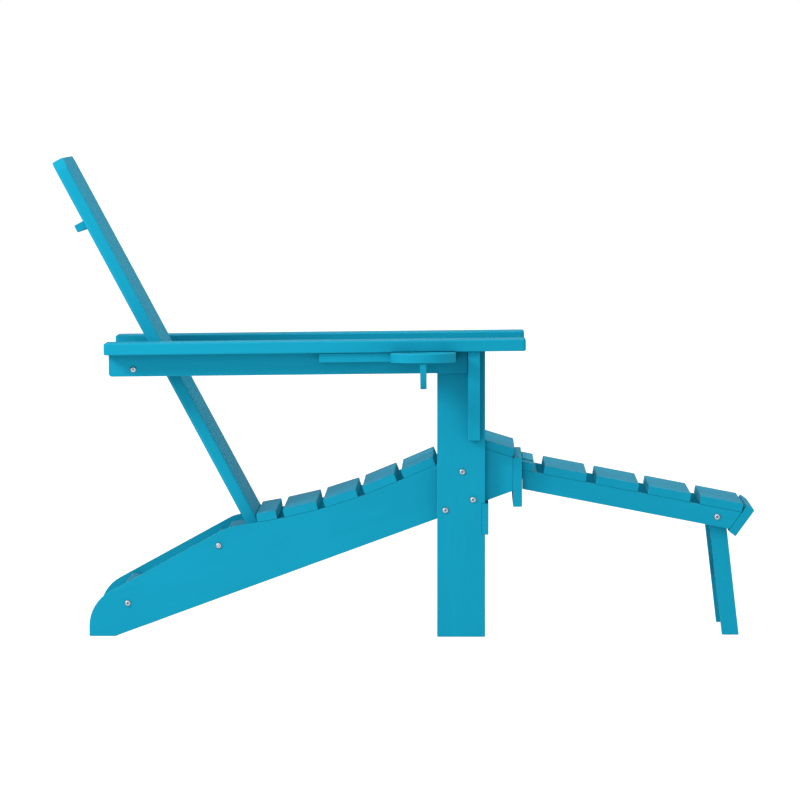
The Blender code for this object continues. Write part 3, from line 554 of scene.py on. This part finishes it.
chairMiddle = (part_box("seat_slat_1")[0][1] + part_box("seat_slat_1")[1][1]) / 2
boltCount = 0
for name in sorted(nodes):
    if "bolt" in name or name.startswith("footrest_pivot"):
        bolt = dress(makeBolt(name), "steel_hardware", bodyOf[name], name)
        bolt.data.shade_smooth()
        bolt.data.set_sharp_from_angle(angle=math.radians(38))
        boltCount += 1
print("bolts made:", boltCount)

# small screws, one mesh for each body
screwShape = dict(radius=0.0030, proud=0.00025, socket=0.0012, depth=0.0009, steps=20)


def faceOf(name, facing):
    # the outer broad side that looks along a direction: its normal and its distance from the origin
    points, triangles = triangleTable(name)
    normal = broadSide(points, triangles)
    normal = normal if normal @ np.array(facing, float) > 0 else -normal
    return normal, (points @ normal).max()


def centre(name):
    low, high = (np.array(c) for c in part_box(name))
    return (low + high) / 2


def screwSpots():
    spots = {"chair": [], "footrest": [], "footrest_legs": []}

    def put(body, name, facing, target):
        normal, distance = faceOf(name, facing)
        target = np.array(target, float)
        spots[body].append((target + (distance - target @ normal) * normal, normal))

    railY = {side: centre("seat_rail_" + side)[1] for side in ("left", "right")}
    restY = {side: centre("footrest_rail_" + side)[1] for side in ("left", "right")}
    for i in range(1, 8):
        x, _, z = centre(f"seat_slat_{i}")
        for y in railY.values():
            put("chair", f"seat_slat_{i}", (0, 0, 1), (x, y, z))
    for i in range(1, 6):
        x, _, z = centre(f"footrest_slat_{i}")
        if i > 1:
            for y in restY.values():
                put("footrest", f"footrest_slat_{i}", (0, 0, 1), (x, y, z))
        for across in ("back_batten", "back_cross_rail"):
            bx, _, bz = centre(across)
            put("chair", f"back_slat_{i}", (1, 0, 0), (bx, centre(f"back_slat_{i}")[1], bz))
    for side, outward in (("left", 1), ("right", -1)):
        legX, legY, legZ = centre("front_leg_" + side)
        for shift in (-0.024, 0.024):
            put("chair", "armrest_" + side, (0, 0, 1), (legX + shift, legY, 0.6))
        ax, ay, az = centre("apron_bolt_" + side)
        put("chair", "armrest_" + side, (0, 0, 1), (ax + 0.05, ay - outward * 0.012, 0.6))
        ex, _, ez = centre("footrest_end_board")
        for shift in (-0.014, 0.014):
            put("footrest", "footrest_end_board", (1, 0, 0), (ex, restY[side], ez + shift))
        bx, _, bz = centre("footrest_leg_bar")
        put("footrest_legs", "footrest_leg_" + side, (0, outward, 0), (bx, 0.0, bz))
    return spots


def makeScrews(body, spots):
    # a low dome over a round socket; profile as radius and height from the board's face
    s = screwShape
    across = np.linspace(s["socket"], s["radius"], 5)
    share = (across - s["socket"]) / (s["radius"] - s["socket"])
    dome = s["proud"] * (1 - share ** 2)
    floor = s["proud"] - s["depth"]
    profile = [(0.0, floor), (s["socket"] * 0.8, floor)] + list(zip(across, dome)) + [(s["radius"] * 0.6, -0.0015), (0.0, -0.0015)]
    local, faces = latheGrid(np.array(profile), s["steps"])
    allPoints, allFaces = [], []
    for number, (origin, normal) in enumerate(spots):
        side = unit(np.cross(normal, [0.0, 0.0, 1.0] if abs(normal[2]) < 0.9 else [0.0, 1.0, 0.0]))
        basis = np.stack([side, np.cross(normal, side), normal])
        allPoints.append(origin + local @ basis)
        allFaces += [[i + number * len(local) for i in face] for face in faces]
    return makeMesh(body + "_screws", np.concatenate(allPoints), allFaces)


for body, spots in screwSpots().items():
    screws = dress(makeScrews(body, spots), "hinge_paint", body)
    screws.data.shade_smooth()
    screws.data.set_sharp_from_angle(angle=math.radians(40))
print("screws placed")

for name in ("hinge_fixed_leaf", "hinge_moving_leaf"):
    nodes[name].data.materials.clear()
    nodes[name].data.materials.append(materials[slotOf[name]])

# floor, light and camera
scene = bpy.context.scene
scene.view_settings.view_transform = "Standard"
stageLook = dict(floorSize=9000.0, floorColour=0.30, floorGlow=0.93, sky=1.0, keyPower=66.0, fillPower=135.0, topPower=42.0)
half = stageLook["floorSize"]
corners = np.array([[-half, -half, 0], [half, -half, 0], [half, half, 0], [-half, half, 0]], float)
floor = makeMesh("floor", corners - [0, 0, 0.0006], [[0, 1, 2, 3]])
material, tree, shader = newMaterial("pale_floor")
shader.inputs["Base Color"].default_value = (*[stageLook["floorColour"]] * 3, 1.0)
shader.inputs["Emission Color"].default_value = (1.0, 1.0, 1.0, 1.0)
shader.inputs["Emission Strength"].default_value = stageLook["floorGlow"]
shader.inputs["Roughness"].default_value = 0.9
shader.inputs["Specular IOR Level"].default_value = 0.0
floor.data.materials.append(material)

world = bpy.data.worlds.new("soft_studio")
world.use_nodes = True
world.node_tree.nodes["Background"].inputs["Color"].default_value = (1.0, 1.0, 1.0, 1.0)
world.node_tree.nodes["Background"].inputs["Strength"].default_value = stageLook["sky"]
scene.world = world


def addSoftbox(name, place, aim, size, power):
    light = bpy.data.lights.new(name, "AREA")
    light.shape = "SQUARE"
    light.size = size
    light.energy = power
    box = bpy.data.objects.new(name, light)
    box.location = place
    box.rotation_euler = (Vector(aim) - Vector(place)).to_track_quat("-Z", "Y").to_euler()
    scene.collection.objects.link(box)


addSoftbox("key_light", (-2.2, -1.8, 1.9), (-0.1, 0.0, 0.3), 0.8, stageLook["keyPower"])
addSoftbox("fill_light", (-1.0, -6.0, 0.9), (0.1, 0.0, 0.3), 2.5, stageLook["fillPower"])

addSoftbox("top_light", (0.1, 0.0, 3.2), (0.1, 0.0, 0.0), 2.4, stageLook["topPower"])

cameraSpot = dict(place=(0.1283, -18.3648, 1.0133), lens=440.3, right=-0.00736, down=-0.03168)
lens = bpy.data.cameras.new("camera")
lens.lens = cameraSpot["lens"]
lens.sensor_width = 36.0
lens.clip_end = 20000.0
camera = bpy.data.objects.new("camera", lens)
camera.location = cameraSpot["place"]
camera.rotation_euler = Vector((cameraSpot["right"], 1.0, cameraSpot["down"])).to_track_quat("-Z", "Y").to_euler()
scene.collection.objects.link(camera)
scene.camera = camera

bpy.context.view_layer.update()
print("stage ready")
